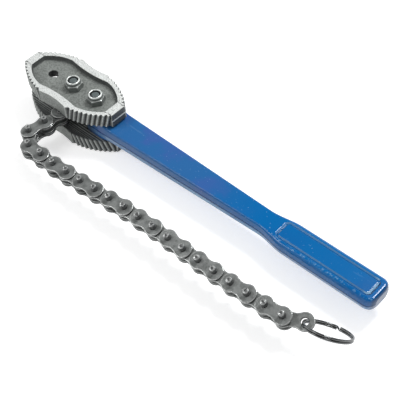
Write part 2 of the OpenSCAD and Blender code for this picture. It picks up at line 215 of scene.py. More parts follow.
class Finishes(bpy.types.PropertyGroup):
    """Colours of the surfaces."""
    enamel: colour("Enamel", (0.0, 0.124, 0.37), "Blue enamel")
    enamel_deep: colour("Deep enamel", (0.0, 0.108, 0.345), "Blue enamel in its deeper patches")
    enamel_dull: colour("Dull enamel", (0.022, 0.122, 0.33), "Handled enamel of the bar")
    enamel_dusk: colour("Dusky enamel", (0.045, 0.100, 0.34), "Enamel in its stained patches")
    # Painted shade: darkens the groove walls that lean away from the lamp, the line along the parting line
    # and the handle's end face.
    painted_shade: colour("Dirt", (0.0, 0.012, 0.04), "Dirt held in the groove")
    # Scuff colour: real specks and scratches, and also painted highlight on the groove's lips and the painted
    # floor reflection low on the handle's sides.
    scuff_and_highlight: colour("Scuff", (0.34, 0.56, 0.74), "Specks and scuffs in the enamel")
    # Bare forging: made this dark so that it also stands in for the shade between the jaws.
    bare: colour("Bare forging", (0.022, 0.023, 0.027), "Dark forging between the jaws")
    cast: colour("Cast steel", (0.28, 0.301, 0.285), "Grey surface of the jaws")
    cast_dark: colour("Dark cast steel", (0.145, 0.156, 0.149), "Darker patches of the jaws")
    ground: colour("Ground rim", (0.82, 0.845, 0.83), "Ground rim of the jaws")
    # Valley colour: oil in the tooth valleys darkened as painted shade; through the scale mark also painted
    # shade on the recess walls and in the bolt holes, and the darker ends.
    valley: colour("Tooth valley", (0.036, 0.038, 0.040), "Oil and scale between the teeth")
    chain: colour("Chain steel", (0.32, 0.335, 0.329), "Link plates")
    chain_dark: colour("Dark chain steel", (0.13, 0.138, 0.135), "Oiled patches of the link plates")
    # Worn edge colour: wear on the link plates' edges; on the pins' ends also painted highlight.
    edge: colour("Worn edge", (0.66, 0.68, 0.67), "Worn edges of the link plates")
    # Chain sides: oil, darkened further as painted shade in the gaps between the plates.
    chain_side_shade: colour("Chain sides", (0.022, 0.023, 0.023), "Oily sides of the link plates")
    pin: colour("Pin steel", (0.036, 0.038, 0.04), "Chain pins and bushes")
    # Zinc: the plating, here also the painted highlight on the nuts' collars and crowns.
    zinc: colour("Zinc", (0.80, 0.84, 0.82), "Plated collars and edges")
    # Dark zinc: on the nuts the painted shade of the hexagon's sides; on the bolts a grain tone.
    zinc_dark: colour("Dark zinc", (0.11, 0.122, 0.118), "Duller flats of the plating")
    bolt: colour("Bolt steel", (0.15, 0.185, 0.19), "Blued bolt ends and heads")
    nylon: colour("Nylon", (0.02, 0.021, 0.024), "Soft nut inserts")
    spring: colour("Spring steel", (0.145, 0.15, 0.152), "Split ring wire")
    floor: colour("Floor", (0.82, 0.82, 0.82), "Studio floor")


class StageSizes(bpy.types.PropertyGroup):
    """Camera and studio light."""
    target: point("Target", (174.988, -2.83, 0.0), "Point that the camera looks at")
    distance: length("Distance", 955.847, "Distance from the camera to its target")
    azimuth: angle("Azimuth", 46.247, "Turn of the camera from the front")
    elevation: angle("Elevation", 49.53, "Height of the camera above the floor")
    roll: angle("Roll", -5.0, "Roll of the camera")
    lens: bpy.props.FloatProperty(name="Lens", description="Focal length of the camera", default=87.508,
                                  unit="CAMERA")
    floor_half: length("Floor half size", 4000.0, "Half size of the studio floor")
    lamp_size: length("Lamp size", 400.0, "Size of each lamp")
    lamp_at: point("Lamp place", (130.0, 600.0, 1100.0), "Place of the soft lamp from the target")
    lamp_power: power("Lamp power", 10.5, "Power of the soft lamp in watts")
    fill_at: point("Fill place", (-500.0, -560.0, 850.0), "Place of the fill lamp from the target")
    fill_power: power("Fill power", 2.6, "Power of the fill lamp in watts")
    ambient: power("Ambient", 0.5, "Strength of the room's light on surfaces")
    horizon: power("Horizon", 1.0, "Strength of the room's reflection near the horizon")
    zenith: power("Zenith", 0.09, "Strength of the room's reflection overhead")
    lift: power("Floor lift", 0.5, "Light that the floor shows to the camera besides its shade")


GROUPS = {
    "wrench_handle": HandleSizes, "wrench_jaw": JawSizes, "wrench_fastener": FastenerSizes,
    "wrench_chain": ChainSizes, "wrench_ring": RingSizes, "wrench_finish": Finishes,
    "wrench_stage": StageSizes,
}


class Term:
    """A socket of a node tree that takes part in plain arithmetic."""

    def __init__(self, net, socket):
        self.net = net
        self.socket = socket

    def __add__(self, other):
        return self.net.math("ADD", self, other)

    def __radd__(self, other):
        return self.net.math("ADD", other, self)

    def __sub__(self, other):
        return self.net.math("SUBTRACT", self, other)

    def __rsub__(self, other):
        return self.net.math("SUBTRACT", other, self)

    def __mul__(self, other):
        return self.net.math("MULTIPLY", self, other)

    def __rmul__(self, other):
        return self.net.math("MULTIPLY", other, self)

    def __truediv__(self, other):
        return self.net.math("DIVIDE", self, other)

    def __rtruediv__(self, other):
        return self.net.math("DIVIDE", other, self)


class Net:
    """A node tree that is built node by node."""

    def __init__(self, tree):
        tree.nodes.clear()
        self.tree = tree

    def add(self, kind, inputs=None, output=0, **settings):
        """Adds a node, sets it up and returns one of its outputs."""
        node = self.tree.nodes.new(kind)
        for key, value in settings.items():
            setattr(node, key, value)
        for key, value in (inputs or {}).items():
            if isinstance(value, Term):
                self.tree.links.new(value.socket, node.inputs[key])
            else:
                node.inputs[key].default_value = value
        return Term(self, node.outputs[output]) if node.outputs else None

    def math(self, operation, *values):
        return self.add("ShaderNodeMath", dict(enumerate(values)), operation=operation)

    def rays(self, *kinds):
        """1 for rays of the named kinds and 0 for others."""
        flags = [self.add("ShaderNodeLightPath", output="Is " + kind + " Ray") for kind in kinds]
        return self.math("MINIMUM", sum(flags[1:], flags[0]), 1.0)

    def place(self):
        return self.add("ShaderNodeTexCoord", output="Object")

    def axis(self, name):
        return self.add("ShaderNodeSeparateXYZ", {0: self.place()}, output=name)

    def noise(self, scale, detail=3.0, stretch=(1.0, 1.0, 1.0)):
        where = self.add("ShaderNodeMapping", {"Vector": self.place(), "Scale": stretch})
        return self.add("ShaderNodeTexNoise", {"Vector": where, "Scale": scale, "Detail": detail})

    def ramp(self, value, low, high):
        """Rises smoothly from 0 to 1 while the value goes from low to high."""
        return self.add("ShaderNodeMapRange", {"Value": value, "From Min": low, "From Max": high},
                        interpolation_type="SMOOTHSTEP")

    def mix(self, factor, a, b):
        """Mixes two colours."""
        a, b = (value if isinstance(value, Term) else (*value, 1.0) for value in (a, b))
        return self.add("ShaderNodeMix", {0: factor, 6: a, 7: b}, output=2, data_type="RGBA")

    def mark(self, name):
        """Reads a value that is stored on the mesh's points."""
        return self.add("ShaderNodeAttribute", output="Fac", attribute_name=name)

    def bump(self, height, strength, distance):
        return self.add("ShaderNodeBump", {"Height": height, "Strength": strength, "Distance": distance})

    def surface(self, **inputs):
        names = {key.replace("_", " ").title().replace("Ior", "IOR"): value for key, value in inputs.items()}
        shader = self.add("ShaderNodeBsdfPrincipled", names)
        self.add("ShaderNodeOutputMaterial", {"Surface": shader})


def enamel(net, look):
    """Glossy blue enamel with scuffs, specks, painted highlights, painted shade and a painted floor
    reflection, which runs out to a dark bare forging between the jaws that also stands in for the shade
    there.
    """
    low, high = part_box("handle")
    along, across = net.axis("X"), net.axis("Y")
    height = net.axis("Z") - (low[2] + high[2]) / 2.0
    from_end = high[0] - along
    lean = net.mark("lean")
    patch = net.ramp(net.noise(22.0, 2.0), 0.42, 0.66)
    paint = net.mix(patch, look.enamel, look.enamel_deep)
    bar = net.ramp(along, 260.0 * MM, 160.0 * MM)
    paint = net.mix(bar, paint, look.enamel_dull)
    paint = net.mix(net.ramp(net.noise(34.0, 4.0), 0.46, 0.66) * bar * 0.7, paint, look.enamel_dusk)
    specks = net.ramp(net.noise(520.0, 2.0), 0.69, 0.76)
    scratches = net.ramp(net.noise(240.0, 2.0, (0.12, 1.0, 1.0)), 0.69, 0.74)
    # Near crest only: partly real chips, partly painted glints where the near edge catches the light.
    chips_and_glints = net.ramp(across, -6.0 * MM, -9.0 * MM) * net.ramp(net.noise(520.0, 3.0), 0.50, 0.62)
    last = net.ramp(from_end, 16.0 * MM, 10.0 * MM)
    # Painted highlight: groove walls that lean towards the lamp are painted light, strongest near the grip's
    # end.
    painted_highlight = net.ramp(lean, 0.2, 0.8) * (0.28 + 0.6 * last)
    painted_highlight = painted_highlight + net.mark("crest") * chips_and_glints * 0.45
    # worn: real specks and scratches plus the painted highlight of the lips and the crest.
    worn = net.math("MINIMUM", specks * 0.35 + scratches * 0.05 + painted_highlight, 1.0)
    paint = net.mix(worn, paint, look.scuff_and_highlight)
    # Painted shade on the last millimetres of the handle's end face.
    end_shade = net.ramp(from_end, 3.5 * MM, 1.0 * MM)
    # Painted reflection: a light band on the lower half of both sides stands for the white floor reflected
    # there, broken into streaks.
    painted_floor_reflection = net.ramp(height, -1.0 * MM, -3.0 * MM) * net.ramp(height, -7.6 * MM, -6.2 * MM) * (1.0 - end_shade)
    streaks = net.ramp(net.noise(90.0, 3.0, (0.2, 1.0, 1.0)), 0.42, 0.62)
    paint = net.mix(painted_floor_reflection * (0.25 + 0.35 * streaks), paint, look.scuff_and_highlight)
    # Painted shade: a dark line along the parting line that stands for the shadow under the flash.
    seam = net.ramp(net.math("ABSOLUTE", height), 1.1 * MM, 0.5 * MM)
    # Painted shade on groove walls leaning away from the lamp, on the parting line and on the handle's end.
    shade = net.ramp(lean, -0.15, -0.6) * (0.65 + 0.3 * last) + seam * 0.5 * (1.0 - end_shade) + end_shade * 0.6
    paint = net.mix(shade, paint, look.painted_shade)
    # The paint runs out to the dark bare forging between the jaws, which also serves as painted shade there.
    painted = net.ramp(along + (net.noise(160.0) - 0.5) * (12.0 * MM), 26.0 * MM, 52.0 * MM)
    gloss = 0.42 + 0.35 * net.ramp(along, 240.0 * MM, 300.0 * MM)
    peel = net.noise(420.0, 2.0) * 0.4 + net.noise(60.0, 1.0)
    net.surface(
        base_color=net.mix(painted, look.bare, paint),
        roughness=0.40 - painted * 0.18 + patch * 0.05 + worn * 0.15,
        coat_weight=painted * gloss, coat_roughness=0.06, specular_ior_level=0.08,
        normal=net.bump(peel, 0.2, 0.6 * MM))


def cast_steel(net, look):
    """Grey cast jaw steel with a ground rim, darker ends outside the flash band, tooth valleys darkened with
    oil and painted shade, and painted shade on the recess walls and in the bolt holes.
    """
    grain = net.noise(620.0, 4.0)
    pits = net.ramp(net.noise(900.0, 2.0), 0.50, 0.66)
    patch = net.ramp(net.noise(45.0, 3.0), 0.35, 0.7)
    rim = net.mark("rim")
    grey = net.mix(patch * 0.4 + net.ramp(grain, 0.44, 0.60) * 0.6, look.cast, look.cast_dark)
    # Valley mark: oil between the teeth, darkened further as painted shade.
    grey = net.mix(net.mark("valley"), grey, look.valley)
    grey = net.mix(net.mark("crest") * 0.6, grey, look.ground)
    # Scale mark: painted shade on the recess walls and in the bolt holes, and darker ends outside the flash
    # band.
    grey = net.mix(net.mark("scale") * 0.85, grey, look.valley)
    net.surface(
        base_color=net.mix(rim * (1.0 - 0.45 * pits), grey, look.ground),
        metallic=0.25 + rim * 0.15,
        roughness=0.50 + (grain - 0.5) * 0.25 - rim * 0.08,
        normal=net.bump(grain - pits * rim * 0.4, 0.7, 0.7 * MM))


def chain_steel(net, look):
    """Oiled link plates with worn edges, and oily sides darkened as painted shade between the plates."""
    patch = net.ramp(net.noise(130.0, 4.0), 0.38, 0.66)
    grain = net.noise(700.0, 3.0)
    worn = net.mark("edge") * net.ramp(grain, 0.25, 0.5)
    plate = net.mix(patch * 0.7 + net.ramp(grain, 0.5, 0.7) * 0.3, look.chain, look.chain_dark)
    # The side mark darkens the plates' sides and holes: oil plus painted shade between the plates.
    plate = net.mix(net.mark("side"), plate, look.chain_side_shade)
    net.surface(
        base_color=net.mix(worn, plate, look.edge), metallic=0.5 + worn * 0.4,
        roughness=0.34 - worn * 0.1 + patch * 0.12 + (grain - 0.5) * 0.2,
        normal=net.bump(grain + net.noise(320.0, 2.0), 0.35, 0.4 * MM))


def turned_steel(net, look):
    """Turned pins, bushes and spacers; the pins' end faces are lighter, partly as wear and partly as painted
    highlight.
    """
    turned = net.noise(1400.0, 2.0)
    # Edge mark on the pins: lighter end faces as wear and painted highlight, darker dimples as painted shade.
    worn = net.mark("edge") * net.ramp(net.noise(500.0, 2.0), 0.25, 0.55)
    net.surface(
        base_color=net.mix(worn, look.pin, look.edge), metallic=0.5 + worn * 0.3,
        roughness=0.34 - worn * 0.1 + turned * 0.16, normal=net.bump(turned, 0.2, 0.2 * MM))


def zinc(net, look):
    """Zinc plated locking nuts with painted highlights on the collar tops and crown and painted shade on the
    hexagon's sides.
    """
    cloud = net.noise(190.0, 3.0)
    grain = net.noise(1100.0, 2.0)
    # Edge mark: painted highlight on the collar and crown, painted shade on the hexagon's sides.
    worn = net.mark("edge")
    net.surface(
        base_color=net.mix(worn * (0.75 + cloud * 0.5), look.zinc_dark, look.zinc), metallic=0.55,
        roughness=0.30 + cloud * 0.14 + grain * 0.06, normal=net.bump(grain, 0.2, 0.2 * MM))


def blued_steel(net, look):
    """Blued bolts whose ends show inside the collars."""
    grain = net.noise(900.0, 2.0)
    steel = net.mix(grain * 0.6, look.bolt, look.zinc_dark)
    net.surface(base_color=net.mix(net.mark("thread"), steel, look.bare), metallic=0.4,
                roughness=0.35 + grain * 0.15, normal=net.bump(grain, 0.2, 0.2 * MM))


def nylon(net, look):
    """Soft insert of a locking nut."""
    grain = net.noise(700.0)
    net.surface(base_color=net.mix(grain, look.nylon, look.bare), roughness=0.5 + grain * 0.2,
                normal=net.bump(grain, 0.2, 0.2 * MM))


def spring_steel(net, look):
    """Split ring wire with drawing marks."""
    drawn = net.noise(60.0, 2.0)
    fine = net.noise(1500.0, 1.0)
    wire = net.mix(net.ramp(drawn, 0.45, 0.75) * 0.3, look.spring, look.chain_dark)
    net.surface(base_color=wire, metallic=0.95, roughness=0.16 + fine * 0.06,
                normal=net.bump(fine, 0.02, 0.1 * MM))


def floor_paint(net, look):
    """White studio floor that shows the object's soft shade."""
    lift = bpy.context.scene.wrench_stage.lift
    glow = net.mix(net.rays("Camera", "Glossy", "Transmission"), (0.0, 0.0, 0.0), (lift, lift, lift))
    shade = net.mix(net.noise(3.0), look.floor, tuple(0.985 * part for part in look.floor))
    net.surface(base_color=shade, roughness=0.9, specular_ior_level=0.0, emission_color=glow,
                emission_strength=1.0)


def finish(builder):
    """Returns the material that a builder function makes, making it once."""
    name = "wrench_" + builder.__name__
    material = bpy.data.materials.get(name)
    if material is None:
        material = bpy.data.materials.new(name)
        material.use_nodes = True
        builder(Net(material.node_tree), bpy.context.scene.wrench_finish)
    return material


class Solid:
    """Points and faces of one piece, gathered shell by shell, with named values on its points."""

    def __init__(self, *marks):
        self.points = []
        self.faces = []
        self.marks = {name: [] for name in marks}

    def loop(self, points, **marks):
        """Adds a row of points and returns their numbers."""
        first = len(self.points)
        points = np.asarray(points, float)
        self.points.extend(map(tuple, points))
        for name, values in self.marks.items():
            values.extend(np.broadcast_to(marks.get(name, 0.0), len(points)).tolist())
        return list(range(first, len(self.points)))

    def bridge(self, a, b):
        """Joins two closed rows with the same number of points."""
        n = len(a)
        self.faces.extend((a[i], a[(i + 1) % n], b[(i + 1) % n], b[i]) for i in range(n))

    def chain(self, loops, closed=False):
        """Joins rows one after the other, and the last to the first where they close."""
        for a, b in zip(loops, loops[1:] + loops[:1] if closed else loops[1:]):
            self.bridge(a, b)

    def tube(self, loops):
        """Joins rows to a skin and closes both of its ends with a face."""
        self.chain(loops)
        self.faces.append(tuple(loops[0]))
        self.faces.append(tuple(loops[-1]))

    def fill(self, *loops):
        """Fills a flat outline that may have holes."""
        numbers = [number for loop in loops for number in loop]
        outlines = [[Vector(self.points[number]) for number in loop] for loop in loops]
        self.faces.extend(tuple(numbers[i] for i in triangle) for triangle in tessellate_polygon(outlines))

    def lathe(self, at, rows, mark=None, closed=False, hexagon=0.0, segments=48):
        """Turns rows about the z axis of a place; a hexagon cuts their radius to its flats.

        A row holds a radius, a height and, where a mark is named, the mark's value.
        """
        turn = np.arange(segments) * 2.0 * math.pi / segments
        sixth = math.pi / 3.0
        flats = hexagon / np.cos((turn + sixth / 2.0) % sixth - sixth / 2.0)
        loops = []
        for radius, height, *value in rows:
            r = np.minimum(radius, flats) if hexagon else np.full(segments, radius)
            local = np.stack([r * np.cos(turn), r * np.sin(turn), np.full(segments, height)], -1)
            loops.append(self.loop(at.put(local), **({mark: value[0]} if mark else {})))
        self.chain(loops, closed)
        if not closed:
            self.fill(loops[0])
            self.fill(loops[-1])

    def mesh(self, name):
        """Mesh with outward normals and the named values."""
        mesh = bpy.data.meshes.new(name)
        mesh.from_pydata(self.points, [], self.faces)
        form = bmesh.new()
        form.from_mesh(mesh)
        bmesh.ops.recalc_face_normals(form, faces=form.faces)
        form.to_mesh(mesh)
        form.free()
        for label, values in self.marks.items():
            mesh.attributes.new(label, "FLOAT", "POINT").data.foreach_set("value", values)
        return mesh

    def build(self, name, body, nodes, slot, builder, sharp=32.0):
        dress(self.mesh(name), body, nodes, builder, sharp)


def dress(mesh, body, nodes, builder, sharp):
    """Makes a piece of a mesh: shades it, lets it ride on its body and take the place of its CAD nodes."""
    mesh.shade_smooth()
    mesh.set_sharp_from_angle(angle=math.radians(sharp))
    mesh.materials.clear()
    mesh.materials.append(finish(builder))
    piece = bpy.data.objects.new(mesh.name, mesh)
    bpy.context.scene.collection.objects.link(piece)
    piece.modifiers.new("Weighted normals", "WEIGHTED_NORMAL").keep_sharp = True
    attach(piece, body)
    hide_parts(*nodes)


class Place:
    """An origin with three axes; puts local points into the world."""

    def __init__(self, origin, x=(1.0, 0.0, 0.0), z=UP):
        self.origin = np.asarray(origin, float)
        x = np.asarray(x, float) / np.linalg.norm(x)
        z = np.asarray(z, float) - x * np.dot(x, z)
        z = z / np.linalg.norm(z)
        self.axes = np.stack([x, np.cross(z, x), z])

    def put(self, local):
        return self.origin + np.asarray(local, float) @ self.axes

    def moved(self, *offset):
        other = Place(self.origin)
        other.origin = self.put(offset)
        other.axes = self.axes
        return other


def link_bodies():
    """Bodies of the chain from the anchor link to the end link."""
    return [row["child"] for row in frame["joints"] if row["name"] != RING_JOINT]


def link_places():
    """Place and pitch of each chain link: origin in its first hinge, x along the link, z along its pins."""
    rows = frame["joints"]
    places = []
    for row, after in zip(rows, rows[1:]):
        start, end = np.array(row["pos_m"]), np.array(after["pos_m"])
        axes = [row["axis"]] if after["name"] == RING_JOINT else [row["axis"], after["axis"]]
        z = sum(np.array(axis) * math.copysign(1.0, axis[2]) for axis in axes)
        places.append((Place(start, end - start, z), float(np.linalg.norm(end - start))))
    return places


def centre(node):
    """Plan centre, lowest and highest point of a CAD node."""
    low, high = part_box(node)
    return (low[0] + high[0]) / 2.0, (low[1] + high[1]) / 2.0, low[2], high[2]


def ease(t):
    t = np.clip(t, 0.0, 1.0)
    return t * t * (3.0 - 2.0 * t)


def blend(a, b, x0, x1, x):
    return a + (b - a) * ease((x - x0) / (x1 - x0))


def circle(radius, number, start=0.0, sweep=2.0 * math.pi):
    turn = start + np.arange(number) * sweep / number
    return np.stack([radius * np.cos(turn), radius * np.sin(turn)], -1)


def flat(points, height):
    points = np.asarray(points, float)
    return np.column_stack([points, np.full(len(points), height)])


class HandleForm:
    """Plan, side and groove of the forged handle as functions of the distance along it."""
    # Shares of the end's roundings that are built in plan and from the side, so that a small flat stays.
    PLAN_SHARE, SIDE_SHARE = 0.98, 0.96
    # Distance of the stations on the bar and along the panel, and their number round the end.
    BAR_STEP, PANEL_STEP, END_STATIONS = 2.0 * MM, 0.55 * MM, 22
    # Columns on half of the panel and across its groove, their reach in groove widths, room at the edge.
    PANEL_COLUMNS, GROOVE_COLUMNS, GROOVE_REACH, COLUMN_ROOM = 9, 17, 0.55, 0.2 * MM
    # Turns of the points on an edge radius, from the broad face down to the side.
    EDGE_TURNS = np.radians(np.arange(75.0, -1.0, -15.0))
    # Direction along and across the grip towards the lamp: groove walls that face it get painted highlight
    # and those facing away get painted shade; and the step of the test.
    LEAN_SIDE, LEAN_STEP = (0.8, -0.6), 0.2 * MM
    # Place and half width of the crest band, where paint chips and painted glints run, as a share of the edge
    # radius.
    CREST = 0.3

    def __init__(self, size):
        self.size = size
        low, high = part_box("handle")
        self.end = high[0]
        self.mid_z = (low[2] + high[2]) / 2.0
        self.gap = high[2] - low[2]
        self.rear = centre("rear_bolt")[0]
        self.bar_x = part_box("upper_jaw")[1][0] - size.bar_lap
        self.head_x = self.rear + size.head_half_w
        self.grip_x = self.end - size.grip_l
        self.flare = self.grip_x - size.flare_l / 2.0, self.grip_x + size.flare_l / 2.0

    def rounded(self, half, radius, share, x):
        """Half size that runs in round the handle's end."""
        over = np.maximum(x - (self.end - radius), 0.0)
        return half - radius + np.sqrt(radius ** 2 - over ** 2 * share)

    def width(self, x):
        s = self.size
        tapered = np.maximum(x - self.head_x, 0.0) / (self.grip_x - self.head_x)
        taper = s.head_half_w + (s.waist_half_w - s.head_half_w) * tapered
        head = blend(s.shoulder_half_w, taper, s.shoulder_x, self.rear + s.shoulder_over, x)
        return self.rounded(blend(head, s.grip_half_w, *self.flare, x), s.end_r, self.PLAN_SHARE, x)

    def height(self, x):
        s = self.size
        bar = blend(self.gap, s.bar_t, self.head_x, self.bar_x, x)
        half = blend(bar, s.grip_t, self.bar_x, self.grip_x, x) / 2.0
        return self.rounded(half, s.end_edge_r, self.SIDE_SHARE, x)

    def edge(self, x):
        s = self.size
        bar = blend(s.head_edge_r, s.bar_edge_r, self.head_x, self.bar_x, x)
        wanted = blend(bar, s.edge_r, *self.flare, x)
        return min(wanted, self.width(x) - s.draft - s.edge_room, self.height(x) - s.edge_room)

    def groove(self, x, y):
        """Depth share of the panel's groove at a point of the grip."""
        s = self.size
        half_w = s.groove_w / 2.0
        half_l = s.panel_l / 2.0 - half_w
        corner = s.panel_r - half_w
        dx = np.abs(x - (self.end - s.panel_end - s.panel_l / 2.0)) - half_l + corner
        dy = np.abs(y) - (s.panel_half_w - half_w) + corner
        outside = np.hypot(np.maximum(dx, 0.0), np.maximum(dy, 0.0))
        away = outside + np.minimum(np.maximum(dx, dy), 0.0) - corner
        return 0.5 + 0.5 * np.cos(math.pi * np.clip(np.abs(away) / half_w, 0.0, 1.0))

    def lean(self, x, y):
        """Lean of the groove's walls towards the lamp side: up to 1 towards the handle's end, down to -1 away
        from it; the enamel paints highlight where it is high and shade where it is low.
        """
        step = self.LEAN_STEP
        along = self.groove(x + step, y) - self.groove(x - step, y)
        across = self.groove(x, y + step) - self.groove(x, y - step)
        rise = self.LEAN_SIDE[0] * along + self.LEAN_SIDE[1] * across
        return np.clip(rise * self.size.groove_w / (4.0 * step), -1.0, 1.0)

    def crest(self, x, y):
        """Closeness to the top of the grip's long edges, where the paint chips and painted glints are put."""
        s = self.size
        inside = self.width(x) - s.draft - s.edge_r - np.abs(y)
        band = self.CREST * s.edge_r
        return np.clip(1.0 - np.abs(inside + band) / band, 0.0, 1.0)

    def columns(self, reach):
        """Places across the broad face, close together where the groove runs."""
        s = self.size
        middle, spread = s.panel_half_w - s.groove_w / 2.0, self.GROOVE_REACH * s.groove_w
        half = np.concatenate([np.linspace(0.0, middle - spread, self.PANEL_COLUMNS)[:-1],
                               np.linspace(middle - spread, middle + spread, self.GROOVE_COLUMNS)])
        half = np.append(half * min(1.0, (reach - self.COLUMN_ROOM) / half[-1]), reach)
        return np.concatenate([-half[:0:-1], half])

    def stations(self):
        """Places along the handle, close together where the panel runs and round the end."""
        s = self.size
        panel_x = self.end - s.panel_end - s.panel_l - MM
        turn = np.linspace(0.0, math.pi / 2.0, self.END_STATIONS)
        return np.concatenate([
            np.arange(s.shoulder_x, panel_x, self.BAR_STEP),
            np.arange(panel_x, self.end - s.end_r, self.PANEL_STEP),
            self.end - s.end_r * (1.0 - np.sin(turn))])

    def section(self, x):
        """Closed (y, z) outline of the forging at one station, with the groove on its broad faces."""
        s = self.size
        w, h, r = float(self.width(x)), float(self.height(x)), float(self.edge(x))
        reach = w - s.draft - r
        y = self.columns(reach)
        middle = len(y) // 2
        top = np.column_stack([y, h - s.groove_d * self.groove(x, y)])
        edge = np.column_stack([reach + r * np.cos(self.EDGE_TURNS), h - r + r * np.sin(self.EDGE_TURNS)])
        band = min(s.flash_band, 0.4 * (h - r) + 0.1 * s.flash_band)
        side = np.array([[w - 0.15 * s.draft, band], [w + s.flash, 0.5 * band]])
        upper = np.concatenate([top, edge, side])
        half = np.concatenate([upper[middle:], upper[:middle - 1:-1] * [1.0, -1.0]])
        return np.concatenate([half[:-1], (half[::-1] * [-1.0, 1.0])[:-1]])


def extrusion(outline, low, high, name):
    """A plain prism used to join or cut a piece."""
    solid = Solid()
    bottom, top = solid.loop(flat(outline, low)), solid.loop(flat(outline, high))
    solid.bridge(bottom, top)
    solid.fill(bottom)
    solid.fill(top)
    tool = bpy.data.objects.new(name, solid.mesh(name))
    bpy.context.scene.collection.objects.link(tool)
    return tool


def combined(mesh, steps):
    """Mesh after joining or cutting with each (tool, operation) pair; the tools are used up."""
    base = bpy.data.objects.new("blank", mesh)
    bpy.context.scene.collection.objects.link(base)
    for tool, operation in steps:
        step = base.modifiers.new(operation, "BOOLEAN")
        step.object = tool
        step.operation = operation
        step.solver = "EXACT"
    graph = bpy.context.evaluated_depsgraph_get()
    result = bpy.data.meshes.new_from_object(base.evaluated_get(graph))
    for used in [base] + [tool for tool, _ in steps]:
        bpy.data.objects.remove(used)
    return result


class WRENCH_OT_handle(bpy.types.Operator):
    """Builds the forged handle with its tongue, bolt holes and grip panel."""
    bl_idname = "wrench.handle"
    bl_label = "Forged handle"

    def execute(self, context):
        size = context.scene.wrench_handle
        form = HandleForm(size)
        solid = Solid()
        loops = []
        for x in form.stations():
            outline = form.section(float(x))
            loops.append(solid.loop(np.column_stack([np.full(len(outline), x), outline[:, 0],
                                                     outline[:, 1] + form.mid_z])))
        solid.tube(loops)
        lean = math.asin(size.neck_half_w / size.tongue_r)
        points = 40
        eye = circle(size.tongue_r, points, lean, 2.0 * math.pi - 2.0 * lean * (points - 1) / points)
        neck = size.shoulder_x + size.neck_lap
        tongue = np.concatenate([eye, [[neck, -size.neck_half_w], [neck, size.neck_half_w]]])
        half_t = size.tongue_t / 2.0
        steps = [(extrusion(tongue, form.mid_z - half_t, form.mid_z + half_t, "tongue"), "UNION")]
        for x in (centre("front_bolt")[0], form.rear):
            hole = circle(size.hole_r, 64) + [x, 0.0]
            drill = extrusion(hole, form.mid_z - form.gap, form.mid_z + form.gap, "hole")
            steps.append((drill, "DIFFERENCE"))
        mesh = combined(solid.mesh("forging"), steps)
        mesh.name = "forged_handle"
        spots = np.empty(len(mesh.vertices) * 3)
        mesh.vertices.foreach_get("co", spots)
        x, y, z = spots.reshape(-1, 3).T
        broad = np.abs(z - form.mid_z) > size.edge_r
        # lean and crest carry the painted highlight and shade of the groove and the painted glints on the
        # near crest.
        for name, values in (("lean", form.lean(x, y)), ("crest", form.crest(x, y) * (x > form.grip_x))):
            mesh.attributes.new(name, "FLOAT", "POINT").data.foreach_set("value", values * broad)
        dress(mesh, "frame", ["handle"], enamel, 40.0)
        return {"FINISHED"}


